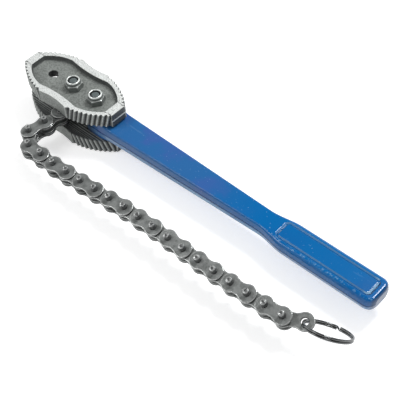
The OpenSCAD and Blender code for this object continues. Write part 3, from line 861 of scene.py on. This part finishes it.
class JawForm:
    """Outlines of a jaw plate: eight runs from corner to corner, anticlockwise from the +X end."""
    ENDS, SADDLES = (0, 4), (2, 6)
    # Points along a straight end, a smooth saddle and each tooth, and those that soften the recess.
    END_POINTS, SADDLE_POINTS, TOOTH_POINTS, SOFT_POINTS = 12, 28, 12, 2400
    # Heights of the outer edge's rows and half height of the flash band, as shares of the thickness.
    EDGE_ROWS, FLASH_BAND = (0.03, 0.2, 0.43, 0.46, 0.54, 0.57, 0.8), 0.06
    # Half width of a groove in tooth pitches, and length in which the slant runs out at an arc's ends.
    GROOVE_HALF, SLANT_FADE = 0.475, 4.0 * MM
    # Depth shares up to which a ridge is bright, and between which a valley darkens with oil and painted
    # shade.
    RIDGE, VALLEY = 0.22, (0.3, 0.8)
    # Lip of the recess: depth, inset, brightness of the ground rim and darkness of the scale mark, which here
    # is painted shade.
    LIP = ((0.0, -0.5 * MM, 1.0, 0.0), (0.2 * MM, -0.12 * MM, 0.9, 0.0), (0.7 * MM, 0.05 * MM, 0.0, 0.95))

    def __init__(self, size):
        self.size = size
        low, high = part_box("upper_jaw")
        self.half_l = (high[0] - low[0]) / 2.0
        self.thick = high[2] - low[2]
        self.pitch = centre("rear_bolt")[0]
        self.runs, self.shares = [], []
        for run in range(8):
            number = self.TOOTH_POINTS * size.teeth
            if run in self.ENDS + self.SADDLES:
                number = self.END_POINTS if run in self.ENDS else self.SADDLE_POINTS
            self.runs.extend([run] * number)
            self.shares.extend(np.arange(number) / number)
        self.runs, self.shares = np.array(self.runs), np.array(self.shares)
        self.toothed = ~np.isin(self.runs, self.ENDS + self.SADDLES)
        to_end = np.isin(self.runs, (3, 7))
        self.along = np.where(to_end, self.shares, 1.0 - self.shares)
        self.to_end = np.where(to_end, 1.0, -1.0)
        self.arc_l = math.hypot(self.half_l - size.saddle_x, size.saddle_y - size.end_y)

    def outline(self, half_l, end_y, saddle_x, saddle_y, arc_rise, shares):
        """Points of an outline at the given shares of its runs."""
        l, e, sx, sy = half_l, end_y, saddle_x, saddle_y
        corners = np.array([(l, -e), (l, e), (sx, sy), (-sx, sy), (-l, e), (-l, -e), (-sx, -sy), (sx, -sy)])
        points = np.empty((len(shares), 2))
        for run in range(8):
            here = self.runs == run
            a, b = corners[run], corners[(run + 1) % 8]
            chord = np.linalg.norm(b - a)
            u = (b - a) / chord
            out = np.array([u[1], -u[0]])
            t = shares[here][:, None]
            if run in self.ENDS:
                points[here] = a + (b - a) * t
                continue
            rise = -self.size.saddle_dip if run in self.SADDLES else arc_rise
            r = (chord ** 2 / 4.0 + rise ** 2) / (2.0 * rise)
            turn = math.asin(chord / 2.0 / r) * (2.0 * t - 1.0)
            points[here] = a + u * (chord / 2.0 + r * np.sin(turn)) + out * (r * np.cos(turn) - r + rise)
        return points

    def outer(self, height, inset):
        """Outer edge at a height above the gap face, with the slanted grooves between the teeth."""
        s = self.size
        fade = ease(np.minimum(self.along, 1.0 - self.along) * self.arc_l / self.SLANT_FADE)
        slide = (height - self.thick / 2.0) * math.tan(s.slant) / self.arc_l * self.to_end * fade
        shares = np.where(self.toothed, self.shares + slide, self.shares)
        base = self.outline(self.half_l, s.end_y, s.saddle_x, s.saddle_y, s.arc_rise, shares)
        side = np.roll(base, -1, axis=0) - np.roll(base, 1, axis=0)
        normal = np.column_stack([side[:, 1], -side[:, 0]])
        normal /= np.linalg.norm(normal, axis=1)[:, None]
        raised = s.flash * self.flashed(height) * np.isin(self.runs, self.ENDS) * (self.shares > 0.0)
        depth = s.groove_d + s.flare * max(0.0, 1.0 - (self.thick - height) / s.flare_h)
        return base + normal * (raised - self.valley() * depth - inset)[:, None]

    def flashed(self, height):
        """Whether a height lies in the flash band of the plate's ends."""
        return abs(height / self.thick - 0.5) < self.FLASH_BAND

    def valley(self):
        """Depth share of the grooves: 1 in a valley, 0 on a ridge and on the smooth runs."""
        place = np.abs(self.along * self.size.teeth % 1.0 - 0.5)
        return np.where(self.toothed, np.clip(1.0 - place / self.GROOVE_HALF, 0.0, 1.0), 0.0)

    def inner(self, inset):
        """Edge of the recessed panel with softened corners, moved inwards by an inset."""
        s = self.size
        rough = self.outline(self.half_l - s.rim_end_w, s.panel_end_y, s.panel_saddle_x, s.saddle_y - s.rim_w,
                             s.panel_rise, self.shares)
        steps = np.linalg.norm(np.roll(rough, -1, axis=0) - rough, axis=1)
        around = np.concatenate([[0.0], np.cumsum(steps)])
        even = np.linspace(0.0, around[-1], self.SOFT_POINTS, endpoint=False)
        closed = np.vstack([rough, rough[:1]])
        dense = np.column_stack([np.interp(even, around, closed[:, axis]) for axis in (0, 1)])
        sigma = s.corner_r / (around[-1] / len(even))
        reach = int(3.0 * sigma)
        weights = np.exp(-0.5 * (np.arange(-reach, reach + 1) / sigma) ** 2)
        soft = sum(w * np.roll(dense, i - reach, axis=0) for i, w in enumerate(weights / weights.sum()))
        side = np.roll(soft, -3, axis=0) - np.roll(soft, 3, axis=0)
        normal = np.column_stack([-side[:, 1], side[:, 0]])
        soft = soft + inset * normal / np.linalg.norm(normal, axis=1)[:, None]
        spots = np.append(even, around[-1])
        soft = np.vstack([soft, soft[:1]])
        return np.column_stack([np.interp(around[:-1], spots, soft[:, axis]) for axis in (0, 1)])

    def hole(self, x, grow):
        """Outline of a bolt hole; the outer holes have a notch towards the plate's middle."""
        s = self.size
        r = s.hole_r + grow
        if x == 0.0:
            return circle(r, 40)
        half = s.notch_w / 2.0 + grow
        reach = s.hole_r + s.notch_reach + grow
        open_turn = math.asin(half / r)
        points = 36
        sweep = (2.0 * math.pi - 2.0 * open_turn) * points / (points - 1)
        round_part = circle(r, points, math.pi + open_turn, sweep)
        shape = np.concatenate([round_part, [[-reach, half], [-reach, -half]]])
        return shape * [math.copysign(1.0, x), 1.0] + [x, 0.0]


def jaw(form, put, name, node):
    """Builds one jaw plate; put moves its points from the plate's own axes to their place."""
    s = form.size
    solid = Solid("rim", "crest", "valley", "scale")
    crest = ease(1.0 - form.valley() / form.RIDGE) * form.toothed
    start, full = form.VALLEY
    valley = ease((form.valley() - start) / (full - start))
    t = form.thick
    edge = [(0.0, s.bevel)] + [(share * t, 0.0) for share in form.EDGE_ROWS]
    edge += [(t - s.flare_h, 0.0), (t - s.bevel, 0.0), (t, s.bevel)]
    ends = np.isin(form.runs, form.ENDS).astype(float)
    loops = []
    for height, inset in edge:
        flash = form.flashed(height)
        loops.append(solid.loop(put(flat(form.outer(height, inset), height)), crest=crest + ends * flash,
                                valley=valley, scale=ends * (not flash)))
    loops.append(solid.loop(put(flat(form.outer(t, s.bevel + s.rim_edge), t)), rim=1.0))
    floor = t - s.recess
    wall = [(t - depth, inset, bright, dark) for depth, inset, bright, dark in form.LIP]
    # The scale values on the recess wall are painted shade.
    wall += [(floor + s.fillet, s.wall_draft, 0.0, 0.85),
             (floor + 0.3 * s.fillet, s.wall_draft + 0.3 * s.fillet, 0.0, 0.5),
             (floor, s.wall_draft + s.fillet, 0.0, 0.0)]
    for height, inset, bright, dark in wall:
        loops.append(solid.loop(put(flat(form.inner(inset), height)), rim=bright, scale=dark))
    solid.chain(loops)
    top_holes, low_holes = [], []
    for x in (-form.pitch, 0.0, form.pitch):
        grow = s.hole_bevel
        # The scale on the hole walls is painted shade inside the bolt holes.
        walls = [(floor, grow, 0.0), (floor - grow, 0.0, 1.0), (grow, 0.0, 1.0), (0.0, grow, 0.0)]
        rows = [solid.loop(put(flat(form.hole(x, wide), height)), scale=dark) for height, wide, dark in walls]
        solid.chain(rows)
        top_holes.append(rows[0])
        low_holes.append(rows[-1])
    solid.fill(loops[-1], *top_holes)
    solid.fill(loops[0], *low_holes)
    solid.build(name, "frame", [node], "jaw_steel", cast_steel, 28.0)


class WRENCH_OT_jaws(bpy.types.Operator):
    """Builds the two toothed jaw plates."""
    bl_idname = "wrench.jaws"
    bl_label = "Toothed jaws"

    def execute(self, context):
        form = JawForm(context.scene.wrench_jaw)
        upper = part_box("upper_jaw")[0][2]
        jaw(form, lambda p: p + [0.0, 0.0, upper], "toothed_jaw_upper", "upper_jaw")
        jaw(form, lambda p: p * [1.0, -1.0, -1.0] + [0.0, 0.0, form.thick], "toothed_jaw_lower", "lower_jaw")
        return {"FINISHED"}


# A nut's crown: radius past the flats, then past the collar, height from the hexagon's top, brightness as
# painted highlight.
CROWN = ((0.15 * MM, -0.25 * MM, 0.5), (0.35 * MM, -0.1 * MM, 0.15), (0.0, 0.3 * MM, 0.0))
# Crimped top of the collar: inset from the collar's radius, depth below the top, brightness as painted
# highlight.
CRIMP = ((0.0, 1.4 * MM, 0.2), (0.2 * MM, 0.7 * MM, 0.8), (0.6 * MM, 0.2 * MM, 1.0), (1.1 * MM, 0.0, 1.0))
# Inside of the crimped lip: radius past the lip, depth below the top, brightness as painted highlight.
NUT_LIP = ((0.35 * MM, 0.2 * MM, 0.9), (0.0, 0.7 * MM, 0.2))
# A bolt's end: inset from the bolt's radius, depth below the top, darkness of the thread.
BOLT_END = ((0.0, 1.3 * MM, 1.0), (0.9 * MM, 0.45 * MM, 1.0), (1.4 * MM, 0.2 * MM, 0.0),
            (2.6 * MM, 0.04 * MM, 0.0))


class HexForm:
    """Place, height and radii of a turned piece with a hexagon."""

    def __init__(self, size, node, turn):
        x, y, low, top = centre(node)
        self.at = Place((x, y, low), (math.cos(turn), math.sin(turn), 0.0))
        self.high = top - low
        self.flat_r = size.hex_af / 2.0
        self.corner_r = self.flat_r / math.cos(math.pi / 6.0) + size.corner_room

    def build(self, rows, mark, closed, name, node, builder):
        solid = Solid(mark)
        solid.lathe(self.at, rows, mark, closed, self.flat_r, 96)
        solid.build(name, "frame", [node], "zinc_plate", builder, 30.0)


def locking_nut(s, which, turn, inserts):
    """Builds one locking nut and adds the soft insert below its crimped lip."""
    form = HexForm(s, which + "_nut", turn)
    bore, seat = s.bolt_r + s.play, s.insert_r + s.play
    lip = form.high - s.lip_t
    crown = [(base + past, s.nut_h + height, bright)
             for base, (past, height, bright) in zip((form.flat_r, s.collar_r, s.collar_r), CROWN)]
    crimp = [(s.collar_r - inset, form.high - depth, bright) for inset, depth, bright in CRIMP]
    crimp += [(s.lip_r + past, form.high - depth, bright) for past, depth, bright in NUT_LIP]
    # Brightness 0.1 on the hexagon's sides is painted shade.
    rows = [(bore + s.bore_bevel, 0.0, 0.0), (form.flat_r, 0.0, 0.6), (form.corner_r, s.nut_foot, 0.1),
            (form.corner_r, s.nut_h - s.crown_h, 0.1), *crown, *crimp, (s.lip_r, lip, 0.0), (seat, lip, 0.0),
            (seat, s.nut_h, 0.0), (bore, s.nut_h, 0.0), (bore, s.bore_bevel, 0.0)]
    form.build(rows, "edge", True, "locking_nut_" + which, which + "_nut", zinc)
    low, high = s.nut_h + s.seam, lip - s.seam
    inserts.lathe(form.at, [(bore, low), (s.insert_r, low), (s.insert_r, high), (bore, high)], closed=True)


def jaw_bolt(s, which, turn):
    """Builds one bolt with a low head."""
    form = HexForm(s, which + "_bolt", turn)
    middle, facet, neck = 0.5 * MM, 0.3 * MM, 0.4 * MM
    rows = [(middle, 0.0, 0.0), (form.flat_r - facet, 0.0, 0.0), (form.corner_r, s.head_foot, 0.0),
            (form.corner_r, s.head_h, 0.0), (s.bolt_r + neck, s.head_h, 0.0), (s.bolt_r, s.head_h, 0.0)]
    rows += [(s.bolt_r - inset, form.high - depth, dark) for inset, depth, dark in BOLT_END]
    rows.append((middle, form.high, 0.0))
    form.build(rows, "thread", False, "jaw_bolt_" + which, which + "_bolt", blued_steel)


def spacer_pair(s, free_gap):
    """Builds the two spacers on the front bolt, above and below the room of the anchor link."""
    x, y, low, top = centre("anchor_spacers")
    thick = (top - low - free_gap) / 2.0
    bore, bevel = s.bolt_r + s.play, s.spacer_bevel
    spacers = Solid()
    for base in (low, top - thick):
        spacers.lathe(Place((x, y, base)), [
            (bore, 0.0), (s.spacer_r - bevel, 0.0), (s.spacer_r, bevel), (s.spacer_r, thick - bevel),
            (s.spacer_r - bevel, thick), (bore, thick)], closed=True)
    spacers.build("anchor_spacer_pair", "frame", ["anchor_spacers"], "pin_steel", turned_steel)


class WRENCH_OT_fasteners(bpy.types.Operator):
    """Builds the bolts, locking nuts, soft inserts and spacers."""
    bl_idname = "wrench.fasteners"
    bl_label = "Bolts and nuts"

    def execute(self, context):
        s = context.scene.wrench_fastener
        chain = context.scene.wrench_chain
        inserts = Solid()
        for which, turn in (("front", s.front_turn), ("rear", s.rear_turn)):
            locking_nut(s, which, turn, inserts)
            jaw_bolt(s, which, turn)
        inserts.build("soft_inserts", "frame", ["nut_inserts"], "nylon", nylon)
        spacer_pair(s, chain.inner_gap + 4.0 * chain.plate_t + 4.0 * chain.side_play)
        return {"FINISHED"}


def link_outline(pitch, eye_r, waist_h):
    """Waisted outline of a link plate between eyes at x = 0 and x = pitch."""
    waist_r = (pitch ** 2 / 4.0 + waist_h ** 2 / 4.0 - eye_r ** 2) / (2.0 * eye_r - waist_h)
    middle = waist_h / 2.0 + waist_r
    lean = math.atan2(middle, pitch / 2.0)
    turn = np.linspace(lean, 2.0 * math.pi - lean, 33)
    eye = eye_r * np.column_stack([np.cos(turn), np.sin(turn)])
    turn = np.linspace(-math.pi + lean, -lean, 15)[1:-1]
    side = np.column_stack([pitch / 2.0 + waist_r * np.cos(turn), middle + waist_r * np.sin(turn)])
    return np.concatenate([eye, side * [1.0, -1.0], eye[::-1] * [-1.0, 1.0] + [pitch, 0.0], side[::-1]])


# Wear, and oil with painted shade, on the rows of a plate's edge, from its flat to the middle of its side;
# wear of hidden edges.
EDGE_WEAR, EDGE_OIL_SHADE, HIDDEN_WEAR = (0.0, 0.7, 1.0, 0.6, 0.0), (0.0, 0.0, 0.0, 0.3, 1.0), 0.25


def link_plate(solid, at, pitch, thick, hole_a, hole_b, size, wear=(1.0, 1.0)):
    """Adds one link plate that stands on z = 0 of its place, with rounded edges and bevelled holes.

    Wear tells how much the lower and the upper edges are worn.
    """
    r = size.edge_r
    turn = np.radians([0.0, 30.0, 60.0, 90.0])
    rise = [(r * (1.0 - math.sin(a)), r * (1.0 - math.cos(a))) for a in turn[::-1]]
    rows = [(0.0, r + size.worn_w)] + rise
    rows += [(thick - height, inset) for height, inset in rows[::-1]]
    loops = []
    for number, (height, inset) in enumerate(rows):
        outline = link_outline(pitch, size.eye_r - inset, size.waist_h - 2.0 * inset)
        step = min(number, len(rows) - 1 - number)
        worn = EDGE_WEAR[step] * wear[number * 2 // len(rows)]
        loops.append(solid.loop(at.put(flat(outline, height)), edge=worn, side=EDGE_OIL_SHADE[step]))
    solid.chain(loops)
    bevel = size.bevel
    lows, tops = [], []
    for x, radius in ((0.0, hole_a), (pitch, hole_b)):
        # The side mark in the holes is painted shade inside them.
        rows = [(0.0, bevel, 0.0), (bevel, 0.0, 0.8), (thick - bevel, 0.0, 0.8), (thick, bevel, 0.0)]
        rings = [solid.loop(at.put(flat(circle(radius + wide, 36) + [x, 0.0], height)), side=dark)
                 for height, wide, dark in rows]
        solid.chain(rings)
        lows.append(rings[0])
        tops.append(rings[-1])
    solid.fill(loops[0], *lows)
    solid.fill(loops[-1], *tops)


class WRENCH_OT_plates(bpy.types.Operator):
    """Builds the link plates of the chain and its end tab."""
    bl_idname = "wrench.plates"
    bl_label = "Link plates"

    def execute(self, context):
        s = context.scene.wrench_chain
        outer_gap = s.inner_gap + 2.0 * s.plate_t + 2.0 * s.side_play
        pinned, bushed = s.pin_r + s.press, s.bush_r + s.press
        bodies = link_bodies()
        for number, (body, (at, pitch)) in enumerate(zip(bodies, link_places())):
            solid = Solid("edge", "side")
            if body == bodies[-1]:
                link_plate(solid, at.moved(0.0, 0.0, -s.tab_t / 2.0), pitch, s.tab_t, bushed, s.tab_hole_r, s)
                solid.build("end_link_tab", body, ["end_tab"], "chain_steel", chain_steel)
                continue
            gap, holes = (outer_gap, pinned) if number % 2 == 0 else (s.inner_gap, bushed)
            first = s.bolt_eye_r if number == 0 else holes
            for base, wear in ((gap / 2.0, (HIDDEN_WEAR, 1.0)), (-gap / 2.0 - s.plate_t, (1.0, HIDDEN_WEAR))):
                link_plate(solid, at.moved(0.0, 0.0, base), pitch, s.plate_t, first, holes, s, wear)
            node = "anchor_plates" if number == 0 else body + "_plates"
            solid.build(body + "_plate_pair", body, [node], "chain_steel", chain_steel)
        return {"FINISHED"}


def chain_pin(solid, at, long, size):
    """Adds one pin centred on its place, with rounded ends and a dimple in each."""
    half, r, d = long / 2.0, size.pin_r, size.dimple_r
    # Radius, depth below the end and brightness, from the dimple's middle outwards; the brightness is painted
    # highlight on the end face and painted shade in the dimple and down the side.
    end = [(0.15 * d, 0.45 * MM, 0.15), (0.7 * d, 0.4 * MM, 0.15), (d, 0.12 * MM, 0.5),
           (d + 0.2 * MM, 0.0, 0.8), (r - 0.75 * MM, 0.0, 0.8), (r - 0.3 * MM, 0.18 * MM, 0.6),
           (r, 0.7 * MM, 0.15)]
    lower = [(radius, depth - half, bright) for radius, depth, bright in end]
    upper = [(radius, half - depth, bright) for radius, depth, bright in end[::-1]]
    solid.lathe(at, lower + upper, "edge", segments=40)


class WRENCH_OT_pins(bpy.types.Operator):
    """Builds the pins and bushes on which the chain hinges."""
    bl_idname = "wrench.pins"
    bl_label = "Pins and bushes"

    def execute(self, context):
        s = context.scene.wrench_chain
        inner_w = s.inner_gap + 2.0 * s.plate_t
        outer_w = inner_w + 2.0 * s.side_play + 2.0 * s.plate_t
        bodies = link_bodies()
        half, bore = inner_w / 2.0, s.pin_r + s.play
        tube = [(bore, -half), (s.bush_r - s.bevel, -half), (s.bush_r, s.bevel - half),
                (s.bush_r, half - s.bevel), (s.bush_r - s.bevel, half), (bore, half)]
        for number, (body, (at, pitch)) in enumerate(zip(bodies, link_places())):
            solid = Solid("edge")
            if number == 0:
                chain_pin(solid, at.moved(pitch, 0.0, 0.0), outer_w + 2.0 * s.short_pin_over, s)
                name, node = "anchor_hinge_pin", "anchor_pin"
            elif body == bodies[-1]:
                solid.lathe(at, tube, closed=True)
                name, node = "end_link_bush", "end_bush"
            elif number % 2 == 0:
                for x in (0.0, pitch):
                    chain_pin(solid, at.moved(x, 0.0, 0.0), s.pin_l, s)
                name, node = body + "_pin_pair", body + "_pins"
            else:
                for x in (0.0, pitch):
                    solid.lathe(at.moved(x, 0.0, 0.0), tube, closed=True)
                name, node = body + "_bush_pair", body + "_bushes"
            solid.build(name, body, [node], "pin_steel", turned_steel)
        return {"FINISHED"}


class WRENCH_OT_ring(bpy.types.Operator):
    """Builds the split ring as two turns of one wire."""
    bl_idname = "wrench.ring"
    bl_label = "Split ring"
    # Rows on a rounded wire end, its narrowest share and its reach in wire radii.
    TIP_ROWS, TIP_SHARE, TIP_REACH = 3, 0.3, 0.6

    def execute(self, context):
        s = context.scene.wrench_ring
        row = next(row for row in frame["joints"] if row["name"] == RING_JOINT)
        x = -np.array(row["axis"])
        tab_z = link_places()[-1][0].axes[2]
        tilted = Place(row["pos_m"], x, tab_z)
        normal = math.sin(s.tilt) * tilted.axes[1] + math.cos(s.tilt) * tilted.axes[2]
        at = Place(row["pos_m"], x, normal).moved(s.ring_r - s.slack, 0.0, 0.0)
        end = s.start + 4.0 * math.pi - s.jog - s.gap
        second = s.start + 2.0 * math.pi
        stations = 300
        tips = math.acos(self.TIP_SHARE) * np.linspace(1.0, 0.0, self.TIP_ROWS + 1)[:-1]
        rows = np.full(self.TIP_ROWS, 1.0)
        turns = np.concatenate([rows * s.start, np.linspace(s.start, end, stations), rows * end])
        slim = np.concatenate([np.cos(tips), np.ones(stations), np.cos(tips[::-1])])
        push = np.concatenate([-np.sin(tips), np.zeros(stations), np.sin(tips[::-1])])
        climb = blend(-s.wire_r, s.wire_r, second - s.jog, second, turns)
        solid = Solid()
        loops = []
        for turn, thin, height in zip(turns + push * self.TIP_REACH * s.wire_r / s.ring_r, slim, climb):
            ring = circle(s.wire_r * thin, 20)
            r = s.ring_r + ring[:, 0]
            local = np.column_stack([r * math.cos(turn), r * math.sin(turn), height + ring[:, 1]])
            loops.append(solid.loop(at.put(local)))
        solid.tube(loops)
        solid.build("split_ring", "ring", ["end_ring"], "ring_steel", spring_steel, 50.0)
        return {"FINISHED"}


class WRENCH_OT_stage(bpy.types.Operator):
    """Sets up the camera, the studio floor and the soft light."""
    bl_idname = "wrench.stage"
    bl_label = "Studio"

    def execute(self, context):
        s = context.scene.wrench_stage
        scene = context.scene
        h = s.floor_half
        mesh = bpy.data.meshes.new("studio_floor")
        mesh.from_pydata([(-h, -h, 0.0), (h, -h, 0.0), (h, h, 0.0), (-h, h, 0.0)], [], [(0, 1, 2, 3)])
        mesh.materials.append(finish(floor_paint))
        ground = bpy.data.objects.new("studio_floor", mesh)
        scene.collection.objects.link(ground)
        lamps = ("soft_lamp", s.lamp_at, s.lamp_power), ("fill_lamp", s.fill_at, s.fill_power)
        for name, place, watts in lamps:
            light = bpy.data.lights.new(name, "AREA")
            light.size = s.lamp_size
            light.energy = watts
            lamp = bpy.data.objects.new(name, light)
            lamp.location = Vector(s.target) + Vector(place)
            lamp.rotation_euler = Vector(place).to_track_quat("Z", "Y").to_euler()
            scene.collection.objects.link(lamp)
        self.room(scene, s)
        self.camera(scene, s)
        scene.view_settings.view_transform = "Standard"
        return {"FINISHED"}

    def room(self, scene, s):
        """White room that is bright near the horizon and dimmer overhead in reflections."""
        world = bpy.data.worlds.new("studio_room")
        scene.world = world
        world.use_nodes = True
        net = Net(world.node_tree)
        seen, glossy = net.rays("Camera", "Transmission"), net.rays("Glossy")
        sky = net.add("ShaderNodeTexCoord", output="Generated")
        height = net.add("ShaderNodeSeparateXYZ", {0: sky}, output="Z")
        mirror = s.horizon - net.ramp(height, 0.15, 0.75) * (s.horizon - s.zenith)
        plain = s.ambient + glossy * (mirror - s.ambient)
        strength = plain + seen * (1.0 - plain)
        light = net.add("ShaderNodeBackground", {"Color": (1.0, 1.0, 1.0, 1.0), "Strength": strength})
        net.add("ShaderNodeOutputWorld", {"Surface": light})

    def camera(self, scene, s):
        data = bpy.data.cameras.new("photo_camera")
        data.lens = s.lens
        data.dof.use_dof = False
        camera = bpy.data.objects.new("photo_camera", data)
        out = math.cos(s.elevation)
        back = Vector((math.sin(s.azimuth) * out, -math.cos(s.azimuth) * out, math.sin(s.elevation)))
        right = Vector((math.cos(s.azimuth), math.sin(s.azimuth), 0.0))
        turn = Matrix((right, back.cross(right), back)).transposed() @ Matrix.Rotation(s.roll, 3, "Z")
        camera.matrix_world = Matrix.Translation(Vector(s.target) + back * s.distance) @ turn.to_4x4()
        scene.collection.objects.link(camera)
        scene.camera = camera


class WRENCH_PT_panel(bpy.types.Panel):
    """Sidebar panel with the sizes and the building steps."""
    bl_idname = "WRENCH_PT_panel"
    bl_label = "Chain pipe wrench"
    bl_space_type = "VIEW_3D"
    bl_region_type = "UI"
    bl_category = "Wrench"

    def draw(self, context):
        for step in STEPS:
            self.layout.operator(step.bl_idname)
        for name, group in GROUPS.items():
            box = self.layout.box()
            box.label(text=group.__doc__)
            for key in group.__annotations__:
                box.prop(getattr(context.scene, name), key)


STEPS = (WRENCH_OT_handle, WRENCH_OT_jaws, WRENCH_OT_fasteners, WRENCH_OT_plates, WRENCH_OT_pins,
         WRENCH_OT_ring, WRENCH_OT_stage)
CLASSES = (*GROUPS.values(), *STEPS, WRENCH_PT_panel)


def register():
    for cls in CLASSES:
        bpy.utils.register_class(cls)
    for name, group in GROUPS.items():
        setattr(bpy.types.Scene, name, bpy.props.PointerProperty(type=group))


def unregister():
    for name in GROUPS:
        delattr(bpy.types.Scene, name)
    for cls in reversed(CLASSES):
        bpy.utils.unregister_class(cls)


def main():
    register()
    bpy.ops.wrench.handle()
    bpy.ops.wrench.jaws()
    bpy.ops.wrench.fasteners()
    bpy.ops.wrench.plates()
    bpy.ops.wrench.pins()
    bpy.ops.wrench.ring()
    bpy.ops.wrench.stage()


if __name__ == "__main__":
    main()
